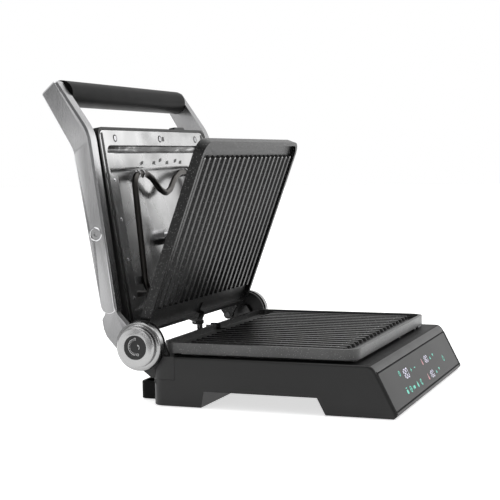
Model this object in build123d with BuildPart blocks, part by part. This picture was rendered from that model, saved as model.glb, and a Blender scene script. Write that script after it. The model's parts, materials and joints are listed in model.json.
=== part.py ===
"""Panini press with its lid open: a ribbed lower plate on a slanted base, and a lid whose head carries
a second ribbed plate, tipped forward off its reflector.

Frame: +X to the object's right, +Y to the rear, +Z up. The origin is on the table, under the middle of
the object's box. Sizes are in millimetres.
"""
import os
from math import cos, radians, sin

from build123d import *

# ---- driving dimensions ---------------------------------------------------------------------------
hinge_y = 84.13           # the lid's hinge axis runs along X at this Y, which centres the box on Y
hinge_z = 63.1

base_half = 157.0         # the base: half its width, its deck and its walls
deck_z = 52.9
wall = 3.5
clearance = 1.0           # the housing hangs this far over the table, on rubber feet
lip_y, lip_z = -275.3, 4.0
front_top_y = -250.6
base_rear_y = -10.0
arch_z = 18.0             # the gap under the base, between its front and rear feet
inner_floor_z = 23.0
deck_corner = 10.0

plate_width, plate_length, plate_depth = 296.0, 214.0, 11.0
plate_corner, plate_rim, pocket_depth = 16.0, 4.5, 5.5
plate_rear_y = -18.8
plate_top_z = 66.5
rib_count, rib_span, rib_height = 20, 269.6, 3.7
rib_start, rib_end, rib_width = 22.0, 197.0, 8.0
spout_half, spout_reach, spout_wall = 11.0, 8.0, 4.0

hub_r, hub_face_r, hub_outer_x, hub_inner_x = 26.0, 22.0, 165.0, 154.4
barrel_r, barrel_inner_x, barrel_outer_x = 24.6, 148.6, 152.8
ring_r, far_ring_r, ring_outer_x = 27.0, 24.9, 153.9
axle_r, pin_gap = 7.0, 0.05
knob_r, knob_inner_x, knob_outer_x = 21.4, 165.4, 170.8

arm_outer_x, arm_inner_x = 163.8, 148.6
grip_y, grip_z, grip_r = 92.0, 330.0, 14.0

lean = 8.9                # the open head leans back by this angle
tip = 29.3                # the upper plate is tipped forward from its seat by this angle
seat_front, seat_start = 4.4, 18.8       # the seated plate: its rim's depth behind the hinge, its lower edge
tip_pivot_s, tip_pivot_d = 0.3, 14.1     # the upper plate's own pivot, up the head and behind the hinge
head_half, head_start, head_end = 144.0, 18.0, 236.0
head_front, head_back, head_low_back = 15.9, 39.8, 34.0
flange_front, flange_half, sheet = 16.4, 140.4, 0.8
head_pivot_s, head_pivot_d, head_pivot_r = 123.3, 27.8, 5.0

tray_half, tray_front_y, tray_rear_y, tray_top_z = 127.0, -58.0, 16.0, 20.3
conduit_x, conduit_y, conduit_r = 19.5, 10.5, 5.5
element_r = 3.5


# ---- planes: every sketch is measured from the hinge axis ------------------------------------------
def side(x=0.0):
    """Upright plane across X: sketch x is Y from the hinge axis, sketch y is height off the table."""
    return Plane(origin=(x, hinge_y, 0), x_dir=(0, 1, 0), z_dir=(1, 0, 0))


def plan(z):
    """Level plane at height z: sketch x is X, sketch y is Y from the hinge axis."""
    return Plane(origin=(0, hinge_y, z), x_dir=(1, 0, 0), z_dir=(0, 0, 1))


def head(depth):
    """Plane of the leaning head, at a depth behind the hinge axis: sketch y runs up the head."""
    origin = (0, hinge_y + depth * cos(radians(lean)), hinge_z - depth * sin(radians(lean)))
    return Plane(origin=origin, x_dir=(1, 0, 0), z_dir=(0, -cos(radians(lean)), sin(radians(lean))))


def head_side(x):
    """Upright plane across X on the head: sketch x runs up the head, sketch y is depth behind it."""
    up_head = (0, sin(radians(lean)), cos(radians(lean)))
    return Plane(origin=(x, hinge_y, hinge_z), x_dir=up_head, z_dir=(-1, 0, 0))


front_slope = Plane(
    origin=(0, hinge_y + lip_y, lip_z),
    x_dir=(1, 0, 0),
    z_dir=(0, lip_z - deck_z, front_top_y - lip_y),
)


def save(piece, name):
    """Label one finished piece and write it as its own STEP file."""
    piece.label = name
    export_step(piece, f"parts/{name}.step")


def corner_at(sketch, point):
    """The sketch's vertex nearest to a point in its own coordinates."""
    return sketch.vertices().sort_by_distance(Vector(*point))[0]


os.makedirs("parts", exist_ok=True)


# ---- base housing: a hollow wedge on four feet, with an arch under each side ------------------------
slope = (front_top_y - lip_y) / (deck_z - lip_z)          # how far the front leans back, per mm of height
front_length = ((front_top_y - lip_y) ** 2 + (deck_z - lip_z) ** 2) ** 0.5
skin_y = lip_y + wall * front_length / (deck_z - lip_z)   # the front's inner face, at the lip's height

opening_half, opening_front_y, opening_rear_y = 131.0, -222.0, -30.0
bracket_seam_y, bracket_seam_z, bracket_inner_x = -38.2, 28.4, 142.8
panel_half, panel_low, panel_high, panel_thick = 151.5, 3.2, 45.7, 2.4
button_y, button_z, button_length, button_height = -125.0, 42.0, 24.0, 8.0

with BuildPart() as base_housing:
    with BuildSketch(side()):
        with BuildLine():
            Polyline(
                (lip_y + 2.8, clearance), (lip_y, lip_z), (front_top_y, deck_z), (base_rear_y, deck_z),
                (base_rear_y, clearance), (-67.6, clearance), (-71.0, arch_z), (-193.4, arch_z),
                (-202.2, clearance), close=True,
            )
        make_face()
        fillet(vertices().group_by(Axis.Y)[-1].sort_by(Axis.X)[0], deck_corner)
    extrude(amount=base_half, both=True)
    fillet(edges().filter_by(Axis.Z).group_by(Axis.Y)[-1], 15)
    fillet(edges().filter_by(Axis.Y).group_by(Axis.Z)[-1], 2.5)
    # the main cavity, the hollow front foot and the bay that the drip tray slides in
    with BuildSketch(side()):
        Polygon(
            (skin_y + slope * (inner_floor_z - lip_z), inner_floor_z),
            (skin_y + slope * (deck_z - wall - lip_z), deck_z - wall),
            (base_rear_y - wall, deck_z - wall), (base_rear_y - wall, inner_floor_z), align=None,
        )
    extrude(amount=base_half - wall, both=True, mode=Mode.SUBTRACT)
    with BuildSketch(side()):
        Polygon(
            (skin_y - slope * lip_z, 0), (skin_y + slope * (20 - lip_z), 20),
            (-197.8, 20), (-206.5, 0), align=None,
        )
    extrude(amount=base_half - wall, both=True, mode=Mode.SUBTRACT)
    with BuildSketch(plan(0)):
        with Locations((0, -38)):
            Rectangle(2 * (tray_half + 2), 58)
    extrude(amount=21.5, mode=Mode.SUBTRACT)
    # a chute behind the rear spout, down to the tray
    with BuildSketch(plan(inner_floor_z - 1)):
        with Locations((0, -16)):
            Rectangle(34, 9)
    extrude(amount=deck_z - inner_floor_z)
    with BuildSketch(plan(0)):
        with Locations((0, -12)):
            Rectangle(27, 10)
    extrude(amount=deck_z + 1, mode=Mode.SUBTRACT)
    # the deck's opening over the heating element, and the service opening below
    with BuildSketch(plan(deck_z - wall - 1)):
        with Locations((0, (opening_front_y + opening_rear_y) / 2)):
            RectangleRounded(2 * opening_half, opening_rear_y - opening_front_y, 12)
    extrude(amount=wall + 2, mode=Mode.SUBTRACT)
    with BuildSketch(plan(arch_z - 1)):
        with Locations((0, -132)):
            Rectangle(230, 96)
    extrude(amount=inner_floor_z - arch_z + 2, mode=Mode.SUBTRACT)
    # notches for the two hinge brackets, the control panel's pocket and the side button's hole
    with BuildSketch(plan(bracket_seam_z)):
        for sign in (-1, 1):
            with Locations((sign * (bracket_inner_x + 10), bracket_seam_y + 20)):
                Rectangle(20, 40)
    extrude(amount=40, mode=Mode.SUBTRACT)
    with BuildSketch(front_slope):
        with Locations((0, (panel_low + panel_high) / 2)):
            RectangleRounded(2 * panel_half, panel_high - panel_low, 3)
    extrude(amount=-panel_thick, mode=Mode.SUBTRACT)
    with BuildSketch(side(base_half - wall - 1)):
        with Locations((button_y, button_z)):
            RectangleRounded(button_length + 0.8, button_height + 0.8, 3)
    extrude(amount=wall + 2, mode=Mode.SUBTRACT)
save(base_housing.part, "base_housing")

# ---- base: pan under the arch, foot covers, rubber feet, screws -------------------------------------
pan_half, pan_front_y, pan_rear_y, pan_thick = 125.0, -186.0, -78.0, 2.5
with BuildPart() as bottom_pan:
    with BuildSketch(plan(arch_z)):
        with Locations((0, (pan_front_y + pan_rear_y) / 2)):
            RectangleRounded(2 * pan_half, pan_rear_y - pan_front_y, 10)
    extrude(amount=-pan_thick)
    chamfer(faces().sort_by(Axis.Z)[0].edges(), 0.8)
    # cooling slots
    with BuildSketch(plan(arch_z)):
        with Locations((0, (pan_front_y + pan_rear_y) / 2)):
            with GridLocations(11, 46, 15, 2):
                SlotOverall(32, 4, rotation=90)
    extrude(amount=-pan_thick, mode=Mode.SUBTRACT)
save(bottom_pan.part, "bottom_pan")

front_foot_r, rear_foot_r, cover_low = 9.0, 8.0, 2.0
with BuildPart() as foot_cover_front:
    with BuildSketch(plan(cover_low)):
        with Locations((0, -237)):
            Rectangle(2 * (base_half - wall) - 0.6, 60)
    extrude(amount=2.5)
save(foot_cover_front.part, "foot_cover_front")

foot_points = [(sign * 132, -236) for sign in (-1, 1)] + [(sign * 142, -40) for sign in (-1, 1)]
with BuildPart() as rubber_feet:
    with BuildSketch(plan(0)):
        with Locations(foot_points[:2]):
            Circle(front_foot_r)
    extrude(amount=cover_low)
    with BuildSketch(plan(0)):
        with Locations(foot_points[2:]):
            Circle(rear_foot_r)
    extrude(amount=clearance)
save(rubber_feet.part, "rubber_feet")

screw_r, screw_head, screw_slot, screw_slot_width = 3.4, 2.2, 4.4, 1.0
with BuildPart() as pan_screws:
    with BuildSketch(plan(arch_z - screw_head)):
        with GridLocations(2 * 136, 90, 2, 2):
            with Locations((0, (pan_front_y + pan_rear_y) / 2)):
                Circle(screw_r)
    extrude(amount=screw_head)
    with BuildSketch(plan(arch_z - screw_head)):
        with GridLocations(2 * 136, 90, 2, 2):
            with Locations((0, (pan_front_y + pan_rear_y) / 2)):
                Rectangle(screw_slot, screw_slot_width)
                Rectangle(screw_slot_width, screw_slot)
    extrude(amount=screw_head / 2, mode=Mode.SUBTRACT)
save(pan_screws.part, "pan_screws")

# ---- base: control panel and electronics ------------------------------------------------------------
with BuildPart() as control_panel:
    with BuildSketch(front_slope.offset(-panel_thick)):
        with Locations((0, (panel_low + panel_high) / 2)):
            RectangleRounded(2 * panel_half - 0.6, panel_high - panel_low - 0.6, 2.7)
    extrude(amount=panel_thick - 0.1)
    chamfer(faces().sort_by(Axis.Y)[0].edges(), 0.5)
save(control_panel.part, "control_panel")

with BuildPart() as control_board:
    with BuildSketch(front_slope.offset(-6.0)):
        with Locations((0, 34)):
            Rectangle(280, 17)
    extrude(amount=1.6)
    with BuildSketch(front_slope.offset(-6.0)):
        with Locations((-66, 34), (26, 34)):
            Rectangle(34, 13)
    extrude(amount=-3)
save(control_board.part, "control_board")

with BuildPart() as power_board:
    with BuildSketch(plan(25)):
        with Locations((60, -130)):
            Rectangle(96, 70)
    extrude(amount=1.6)
    with BuildSketch(plan(26.6)):
        with Locations((40, -118), (62, -118)):
            Rectangle(16, 19)
        with Locations((84, -140)):
            Rectangle(26, 22)
        with GridLocations(13, 0, 4, 1):
            with Locations((45, -150)):
                Circle(4)
    extrude(amount=9)
save(power_board.part, "power_board")

# ---- base: reflector, heating element and its fittings -----------------------------------------------
def reflector(plane, half, start, end, tub_half, tub_start, tub_end, tub_depth):
    """Folded sheet: a flat flange around a shallow tub, drawn on the flange's front face."""
    with BuildPart() as pressing:
        with BuildSketch(plane):
            with Locations((0, (start + end) / 2)):
                RectangleRounded(2 * half, end - start, 9)
        extrude(amount=-sheet)
        with BuildSketch(plane):
            with Locations((0, (tub_start + tub_end) / 2)):
                RectangleRounded(2 * tub_half, tub_end - tub_start, 10)
        extrude(amount=-tub_depth)
        with BuildSketch(plane):
            with Locations((0, (tub_start + tub_end) / 2)):
                RectangleRounded(2 * (tub_half - sheet), tub_end - tub_start - 2 * sheet, 10 - sheet)
        extrude(amount=sheet - tub_depth, mode=Mode.SUBTRACT)
    return pressing.part


def tube_element(plane, route, bend):
    """A bent heating tube along a route on the given plane."""
    with BuildPart() as tube:
        with BuildLine(plane) as path:
            FilletPolyline(*route, radius=bend)
        with BuildSketch(Plane(origin=path.line @ 0, z_dir=path.line % 0)):
            Circle(element_r)
        sweep()
    return tube.part


lower_tub_depth, lower_element_z = 14.0, 47.0
lower_flange = plan(deck_z + sheet)
lower_reflector = reflector(lower_flange, 137, -228, -25, opening_half - 1, -220, -32, lower_tub_depth)
save(lower_reflector, "lower_reflector")

lower_route = [(-28, -44), (-98, -44), (-98, -196), (-42, -196), (-42, -120), (42, -120),
               (42, -196), (98, -196), (98, -44), (28, -44)]
save(tube_element(plan(lower_element_z), lower_route, 16), "lower_heating_element")

lower_tub_floor = deck_z - lower_tub_depth + 2 * sheet
with BuildPart() as lower_element_brackets:
    with BuildSketch(plan(lower_tub_floor)):
        with Locations((-98, -120), (98, -120), (0, -120), (-42, -158), (42, -158)):
            Rectangle(16, 5)
    extrude(amount=lower_element_z - element_r - lower_tub_floor - 0.1)
save(lower_element_brackets.part, "lower_element_brackets")

with BuildPart() as lower_thermostat:
    with BuildSketch(plan(lower_tub_floor)):
        with Locations((0, -80)):
            Circle(9)
    extrude(amount=11)
    with BuildSketch(plan(lower_tub_floor + 11)):
        with Locations((0, -80)):
            Circle(5)
    extrude(amount=4)
save(lower_thermostat.part, "lower_thermostat")

support_points = [(sign * 124, y) for sign in (-1, 1) for y in (-225.2, -28)]
with BuildPart() as plate_support_tabs:
    with BuildSketch(plan(deck_z + sheet)):
        with Locations(support_points):
            Rectangle(14, 5)
    extrude(amount=plate_top_z - plate_depth - deck_z - sheet - 0.1)
save(plate_support_tabs.part, "plate_support_tabs")


# ---- ribbed plates -----------------------------------------------------------------------------------
def grill_plate(plane):
    """Cast plate on the plane of its rim: sketch y runs from the spout's edge, the ribs along it."""
    with BuildPart() as plate:
        with BuildSketch(plane):
            with Locations((0, plate_length / 2)):
                RectangleRounded(plate_width, plate_length, plate_corner)
        extrude(amount=-plate_depth)
        with BuildSketch(plane) as spout:
            with Locations((0, (plate_rim - spout_reach) / 2)):
                Rectangle(2 * spout_half, plate_rim + spout_reach)
            fillet(spout.vertices().group_by(Axis.Y)[0], 5)
        extrude(amount=-plate_depth)
        with BuildSketch(plane):
            with Locations((0, plate_length / 2)):
                RectangleRounded(
                    plate_width - 2 * plate_rim, plate_length - 2 * plate_rim, plate_corner - plate_rim
                )
        extrude(amount=-pocket_depth, mode=Mode.SUBTRACT)
        # the spout's channel, a little deeper than the trough it drains
        with BuildSketch(plane):
            with Locations((0, 2)):
                Rectangle(2 * (spout_half - spout_wall), 24)
        extrude(amount=-pocket_depth - 1, mode=Mode.SUBTRACT)
        # the shallow recess in the plate's back
        with BuildSketch(plane.offset(-plate_depth)):
            with Locations((0, plate_length / 2)):
                RectangleRounded(plate_width - 14, plate_length - 14, plate_corner - 7)
        extrude(amount=1.5, mode=Mode.SUBTRACT)
        with BuildSketch(plane.offset(-pocket_depth)):
            with Locations((0, (rib_start + rib_end) / 2)):
                with GridLocations(rib_span / (rib_count - 1), 0, rib_count, 1):
                    SlotOverall(rib_end - rib_start, rib_width, rotation=90)
        extrude(amount=rib_height, taper=24)
    return plate.part


lower_rim = Plane(origin=(0, hinge_y + plate_rear_y, plate_top_z), x_dir=(-1, 0, 0), z_dir=(0, 0, 1))
save(grill_plate(lower_rim), "lower_grill_plate")

seat = head(seat_front)
seat_origin = seat.from_local_coords(Vector(0, seat_start, 0))
seated_rim = Plane(origin=seat_origin, x_dir=(1, 0, 0), z_dir=seat.z_dir)
tip_point = head(tip_pivot_d).from_local_coords(Vector(0, tip_pivot_s, 0))
tip_axis = Axis(origin=tip_point, direction=(1, 0, 0))
save(grill_plate(seated_rim).rotate(tip_axis, tip), "upper_grill_plate")

tab_inner_x, tab_outer_x, ear_inner_x, ear_outer_x = 122.4, 126.0, 126.5, 130.5
ear_r, tip_pin_r = 5.5, 3.0
with BuildPart() as plate_tabs:
    with BuildSketch(head_side(tab_outer_x)):
        with Locations((tip_pivot_s, tip_pivot_d)):
            Circle(ear_r)
        with Locations((seat_start - 2, 10.5)):
            Rectangle(4, 8)
        make_hull()
        with Locations((tip_pivot_s, tip_pivot_d)):
            Circle(tip_pin_r + pin_gap, mode=Mode.SUBTRACT)
    extrude(amount=tab_outer_x - tab_inner_x)
    mirror(about=Plane.YZ)
save(plate_tabs.part.rotate(tip_axis, tip), "plate_tabs")

# ---- hinge: brackets in the base's rear corners, axles, dark rings ------------------------------------
with BuildPart() as hinge_bracket_right:
    with BuildSketch(plan(bracket_seam_z + 0.2)) as corner:
        with Locations(((bracket_inner_x + 0.2 + base_half) / 2, (bracket_seam_y + 0.2 + base_rear_y) / 2)):
            Rectangle(base_half - bracket_inner_x - 0.2, base_rear_y - bracket_seam_y - 0.2)
        fillet(corner.vertices().sort_by(Axis.X)[-2:].sort_by(Axis.Y)[-1], 13.5)
    extrude(amount=deck_z - bracket_seam_z - 0.2)
    with BuildSketch(side(barrel_outer_x)):
        with Locations((0, hinge_z)):
            Circle(ring_r + 0.4)
    extrude(amount=5, mode=Mode.SUBTRACT)
    with BuildSketch(side(barrel_inner_x)):
        with Locations((0, hinge_z)):
            Circle(barrel_r)
        Polygon(
            (-24, hinge_z + 5), (-30, deck_z), (-30, 32), (base_rear_y, bracket_seam_z + 0.2),
            (3.5, 38.8), (18, 52), (0, hinge_z), align=None,
        )
        with Locations((0, hinge_z)):
            Circle(axle_r, mode=Mode.SUBTRACT)
    extrude(amount=barrel_outer_x - barrel_inner_x)
save(hinge_bracket_right.part, "hinge_bracket_right")

with BuildPart() as hinge_bracket_left:
    mirror(hinge_bracket_right.part, about=Plane.YZ)
save(hinge_bracket_left.part, "hinge_bracket_left")

with BuildPart() as hinge_rings:
    for ring_x, radius in ((-ring_outer_x, ring_r), (barrel_outer_x, far_ring_r)):
        with BuildSketch(side(ring_x)):
            with Locations((0, hinge_z)):
                Circle(radius)
                Circle(axle_r, mode=Mode.SUBTRACT)
        extrude(amount=ring_outer_x - barrel_outer_x)
save(hinge_rings.part, "hinge_rings")

knob_stub_r, nut_r = 3.0, 8.5
with BuildPart() as hinge_axles:
    with BuildSketch(side(barrel_inner_x - 2)):
        with Locations((0, hinge_z)):
            Circle(axle_r)
    extrude(amount=hub_outer_x - 1 - (barrel_inner_x - 2))
    with BuildSketch(side(barrel_inner_x - 2)):
        with Locations((0, hinge_z)):
            RegularPolygon(nut_r, 6)
    extrude(amount=-4)
    mirror(about=Plane.YZ)
    with BuildSketch(side(-hub_outer_x)):
        with Locations((0, hinge_z)):
            Circle(knob_stub_r + pin_gap)
    extrude(amount=8, mode=Mode.SUBTRACT)
save(hinge_axles.part, "hinge_axles")

# ---- hinge lock knob on the left end ------------------------------------------------------------------
disc_r = 12.7
with BuildPart() as knob_ring:
    with BuildSketch(side(-knob_outer_x)):
        with Locations((0, hinge_z)):
            Circle(knob_r)
    extrude(amount=knob_outer_x - knob_inner_x)
    chamfer(faces().sort_by(Axis.X)[0].edges(), 1.4)
    with BuildSketch(side(-knob_outer_x)):
        with Locations((0, hinge_z)):
            Circle(disc_r)
    extrude(amount=1.5, mode=Mode.SUBTRACT)
    with BuildSketch(side(-knob_inner_x)):
        with Locations((0, hinge_z)):
            Circle(knob_stub_r)
    extrude(amount=6)
save(knob_ring.part, "knob_ring")

with BuildPart() as knob_disc:
    with BuildSketch(side(-knob_outer_x + 1.5)):
        with Locations((0, hinge_z)):
            Circle(disc_r - 0.1)
    extrude(amount=-1.3)
save(knob_disc.part, "knob_disc")

# ---- lid frame: two bent arms, hubs, grip ---------------------------------------------------------------
rear_low, rear_bend, tip_rear = (41.0, 86.0), (71.6, 267.8), (108.2, 328.9)
tip_front, front_bend, front_low = (90.3, 344.3), (51.5, 288.8), (24.5, 99.0)
pivot_point = head(head_pivot_d).from_local_coords(Vector(0, head_pivot_s, 0))
pivot_y, pivot_z = pivot_point.Y - hinge_y, pivot_point.Z

recess_r, recess_depth, pivot_bore_end = 7.5, 2.5, 159.5
hub_round = hub_r - hub_face_r
with BuildPart() as arm_right:
    with BuildSketch(side(arm_inner_x)) as bar:
        Polygon(rear_low, rear_bend, tip_rear, tip_front, front_bend, front_low, align=None)
        fillet(corner_at(bar, tip_front), 3.5)
        fillet(corner_at(bar, tip_rear), 4)
        fillet(corner_at(bar, rear_bend), 38)
        fillet(corner_at(bar, front_bend), 50)
        fillet(corner_at(bar, rear_low), 11)
    extrude(amount=arm_outer_x - arm_inner_x)
    chamfer(faces().sort_by(Axis.X)[-1].edges(), 2.2)
    # the lug that carries the hub, outside the base's barrel
    with BuildSketch(side(hub_inner_x)) as lug:
        Polygon(
            (0, hinge_z), (24.7, 59.5), (36.5, 72.4), (39.7, 80.0), (41.5, 90.0),
            (36.0, 100.0), (26.5, 104.0), (22.9, 96.1), (13.7, 86.4), align=None,
        )
        fillet(corner_at(lug, (36.5, 72.4)), 8)
    extrude(amount=arm_outer_x - 0.6 - hub_inner_x)
    with BuildSketch(plan(hinge_z)):
        with BuildLine():
            Polyline(
                (hub_outer_x, hub_face_r), (hub_outer_x, 0), (hub_inner_x, 0), (hub_inner_x, hub_r),
                (hub_outer_x - hub_round, hub_r),
            )
            RadiusArc((hub_outer_x - hub_round, hub_r), (hub_outer_x, hub_face_r), hub_round)
        make_face()
    revolve(axis=Axis(origin=(0, hinge_y, hinge_z), direction=(1, 0, 0)))
    with BuildSketch(side(hub_inner_x)):
        with Locations((0, hinge_z)):
            Circle(axle_r + pin_gap)
    extrude(amount=hub_outer_x - hub_inner_x, mode=Mode.SUBTRACT)
    # the head's pivot bore from inside, and its cover screw's recess from outside
    with BuildSketch(side(arm_inner_x)):
        with Locations((pivot_y, pivot_z)):
            Circle(head_pivot_r + pin_gap)
    extrude(amount=pivot_bore_end - arm_inner_x, mode=Mode.SUBTRACT)
    with BuildSketch(side(arm_outer_x)):
        with Locations((pivot_y, pivot_z)):
            Circle(recess_r)
    extrude(amount=-recess_depth, mode=Mode.SUBTRACT)
save(arm_right.part, "arm_right")

with BuildPart() as arm_left:
    mirror(arm_right.part, about=Plane.YZ)
save(arm_left.part, "arm_left")

with BuildPart() as pivot_screws:
    with BuildSketch(side(arm_outer_x - recess_depth)):
        with Locations((pivot_y, pivot_z)):
            Circle(recess_r - 1)
    extrude(amount=1.8)
    chamfer(faces().sort_by(Axis.X)[-1].edges(), 0.5)
    with BuildSketch(side(arm_outer_x)):
        with Locations((pivot_y, pivot_z)):
            RegularPolygon(2.6, 6)
    extrude(amount=-2, mode=Mode.SUBTRACT)
    mirror(about=Plane.YZ)
save(pivot_screws.part, "pivot_screws")

collar_length, rod_r = 1.5, 6.0
with BuildPart() as handle_grip:
    with BuildSketch(side()):
        with Locations((grip_y, grip_z)):
            Circle(grip_r)
            Circle(rod_r, mode=Mode.SUBTRACT)
    extrude(amount=arm_inner_x - collar_length, both=True)
save(handle_grip.part, "handle_grip")

with BuildPart() as grip_collars:
    with BuildSketch(side(arm_inner_x - collar_length)):
        with Locations((grip_y, grip_z)):
            Circle(grip_r - 1.5)
            Circle(rod_r, mode=Mode.SUBTRACT)
    extrude(amount=collar_length)
    mirror(about=Plane.YZ)
save(grip_collars.part, "grip_collars")

with BuildPart() as grip_rod:
    with BuildSketch(side()):
        with Locations((grip_y, grip_z)):
            Circle(rod_r)
    extrude(amount=arm_inner_x, both=True)
save(grip_rod.part, "grip_rod")

with BuildPart() as hub_cap:
    with BuildSketch(side(hub_outer_x)):
        with Locations((0, hinge_z)):
            Circle(knob_r)
    extrude(amount=knob_outer_x - hub_outer_x)
    chamfer(faces().sort_by(Axis.X)[-1].edges(), 1.4)
    with BuildSketch(side(knob_outer_x)):
        with Locations((0, hinge_z)):
            Circle(disc_r)
    extrude(amount=-1.5, mode=Mode.SUBTRACT)
save(hub_cap.part, "hub_cap")

with BuildPart() as hub_cap_disc:
    with BuildSketch(side(knob_outer_x - 1.5)):
        with Locations((0, hinge_z)):
            Circle(disc_r - 0.1)
    extrude(amount=1.3)
save(hub_cap_disc.part, "hub_cap_disc")

# ---- head: housing, reflector, element, pivots ---------------------------------------------------------
shell = 3.0
head_length = head_end - head_start
release_x, release_length, release_depth, release_thick, release_rise = 89.0, 30.0, 28.0, 8.0, 4.5
with BuildPart() as upper_housing:
    with BuildSketch(head_side(0)) as shell_side:
        Polygon(
            (head_start, head_front), (head_start, head_low_back), (75, head_back),
            (head_end, head_back), (head_end, head_front), align=None,
        )
        fillet(corner_at(shell_side, (head_end, head_back)), 12)
        fillet(corner_at(shell_side, (head_start, head_low_back)), 6)
    extrude(amount=head_half, both=True)
    fillet(edges().filter_by(lambda edge: abs(edge.tangent_at(0).dot(head(0).z_dir)) > 0.99), 10)
    # hollow behind the flange, with a shallow step that the flange lies in
    with BuildSketch(head(head_front - 1)):
        with Locations((0, (head_start + head_end) / 2)):
            RectangleRounded(2 * head_half - 2 * shell, head_length - 2 * shell, 8)
    extrude(amount=-(head_back - shell - head_front + 1 - 4), mode=Mode.SUBTRACT)
    # lugs below the housing for the tipping plate's pins
    with BuildSketch(head_side(ear_outer_x)):
        with Locations((tip_pivot_s, tip_pivot_d)):
            Circle(ear_r)
        with Locations((head_start + 1, 24)):
            Rectangle(2, 12)
        make_hull()
    extrude(amount=ear_outer_x - ear_inner_x)
    with BuildSketch(head_side(-ear_inner_x)):
        with Locations((tip_pivot_s, tip_pivot_d)):
            Circle(ear_r)
        with Locations((head_start + 1, 24)):
            Rectangle(2, 12)
        make_hull()
    extrude(amount=ear_outer_x - ear_inner_x)
    # holes for the release button, the conduit's sleeve and the side pivots
    with BuildSketch(head(release_depth - release_thick / 2 - 0.4)):
        with Locations((release_x, head_end - 2)):
            Rectangle(release_length + 0.8, 14)
    extrude(amount=-release_thick - 0.8, mode=Mode.SUBTRACT)
    with BuildSketch(head(19.0 - 5)):
        with Locations((conduit_x, head_start)):
            Rectangle(10, 10)
    extrude(amount=-10, mode=Mode.SUBTRACT)
    with BuildSketch(side(-head_half - 1)):
        with Locations((pivot_y, pivot_z)):
            Circle(head_pivot_r)
    extrude(amount=2 * head_half + 2, mode=Mode.SUBTRACT)
save(upper_housing.part, "upper_housing")

flange = head(flange_front)
groove_end, tub_start, tub_depth = 217.0, 34.0, 15.0
save(reflector(flange, flange_half, 21.6, 232.6, 129, tub_start, groove_end, tub_depth), "upper_reflector")

upper_route = [(-9, 46), (-84, 52), (-68, 184), (-36, 184), (-22, 178), (-6, 165), (8, 160),
               (22, 164), (40, 177), (58, 184), (96, 184), (116, 52), (43, 46)]
element_depth = 19.0
save(tube_element(head(element_depth), upper_route, 15), "upper_heating_element")

tub_floor = flange_front + tub_depth - sheet
with BuildPart() as upper_element_brackets:
    with BuildSketch(head(tub_floor)):
        with Locations((-53, 184), (79, 184), (-82.3, 66), (113.9, 66)):
            Rectangle(4, 9)
    extrude(amount=tub_floor - element_depth - element_r - 0.1)
save(upper_element_brackets.part, "upper_element_brackets")

with BuildPart() as upper_thermostat:
    with BuildSketch(head(tub_floor)):
        with Locations((0, 110)):
            Circle(9)
    extrude(amount=9)
    with BuildSketch(head(tub_floor - 9)):
        with Locations((0, 110)):
            Circle(5)
    extrude(amount=4)
save(upper_thermostat.part, "upper_thermostat")

side_screws = [(sign * 135.5, s) for sign in (-1, 1) for s in (63, 103, 143, 183)]
end_screws = [(x, 224) for x in (-105, 10, 114)]
with BuildPart() as reflector_screws:
    with BuildSketch(flange):
        with Locations(*side_screws, *end_screws):
            Circle(2.6)
    extrude(amount=0.35)
    with BuildSketch(flange):
        with Locations(*side_screws, *end_screws):
            Rectangle(3.4, 0.7)
            Rectangle(0.7, 3.4)
    extrude(amount=0.2 + 0.15, mode=Mode.SUBTRACT)
save(reflector_screws.part, "reflector_screws")

with BuildPart() as head_pivots:
    with BuildSketch(side(head_half - shell)):
        with Locations((pivot_y, pivot_z)):
            Circle(head_pivot_r)
    extrude(amount=pivot_bore_end - 0.5 - head_half + shell)
    mirror(about=Plane.YZ)
save(head_pivots.part, "head_pivots")

with BuildPart() as tip_pins:
    with BuildSketch(head_side(ear_inner_x)):
        with Locations((tip_pivot_s, tip_pivot_d)):
            Circle(tip_pin_r)
    extrude(amount=ear_inner_x - tab_inner_x + 1)
    mirror(about=Plane.YZ)
save(tip_pins.part, "tip_pins")

with BuildPart() as upper_release_button:
    with BuildSketch(head(release_depth - release_thick / 2)) as cap:
        with Locations((release_x, head_end + (release_rise - 8) / 2)):
            Rectangle(release_length, release_rise + 8)
        fillet(cap.vertices().group_by(Axis.Y)[-1], 2.5)
    extrude(amount=-release_thick)
save(upper_release_button.part, "upper_release_button")

# ---- base: side button, conduit, cord gland ---------------------------------------------------------------
with BuildPart() as lower_release_button:
    with BuildSketch(side(base_half - 5)):
        with Locations((button_y, button_z)):
            RectangleRounded(button_length, button_height, 2.6)
    extrude(amount=7.5)
    fillet(faces().sort_by(Axis.X)[-1].edges(), 1)
save(lower_release_button.part, "lower_release_button")

boss_low, boss_high, grommet_low, grommet_high = 25.0, 42.0, 63.0, 68.0
with BuildPart() as conduit_boss:
    with BuildSketch(plan(boss_low)) as boss:
        with Locations((conduit_x, (base_rear_y + 16) / 2)):
            Rectangle(16, 16 - base_rear_y)
        fillet(boss.vertices().group_by(Axis.Y)[-1], 6)
    extrude(amount=boss_high - boss_low)
save(conduit_boss.part, "conduit_boss")

with BuildPart() as conduit_post:
    with BuildSketch(plan(boss_high)):
        with Locations((conduit_x, conduit_y)):
            Circle(conduit_r)
            Circle(conduit_r - 1.2, mode=Mode.SUBTRACT)
    extrude(amount=grommet_low - boss_high)
save(conduit_post.part, "conduit_post")

with BuildPart() as conduit_grommet:
    with BuildSketch(plan(grommet_low)):
        with Locations((conduit_x, conduit_y)):
            Circle(7)
    extrude(amount=grommet_high - grommet_low)
    fillet(edges().filter_by(GeomType.CIRCLE), 1.2)
save(conduit_grommet.part, "conduit_grommet")

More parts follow.
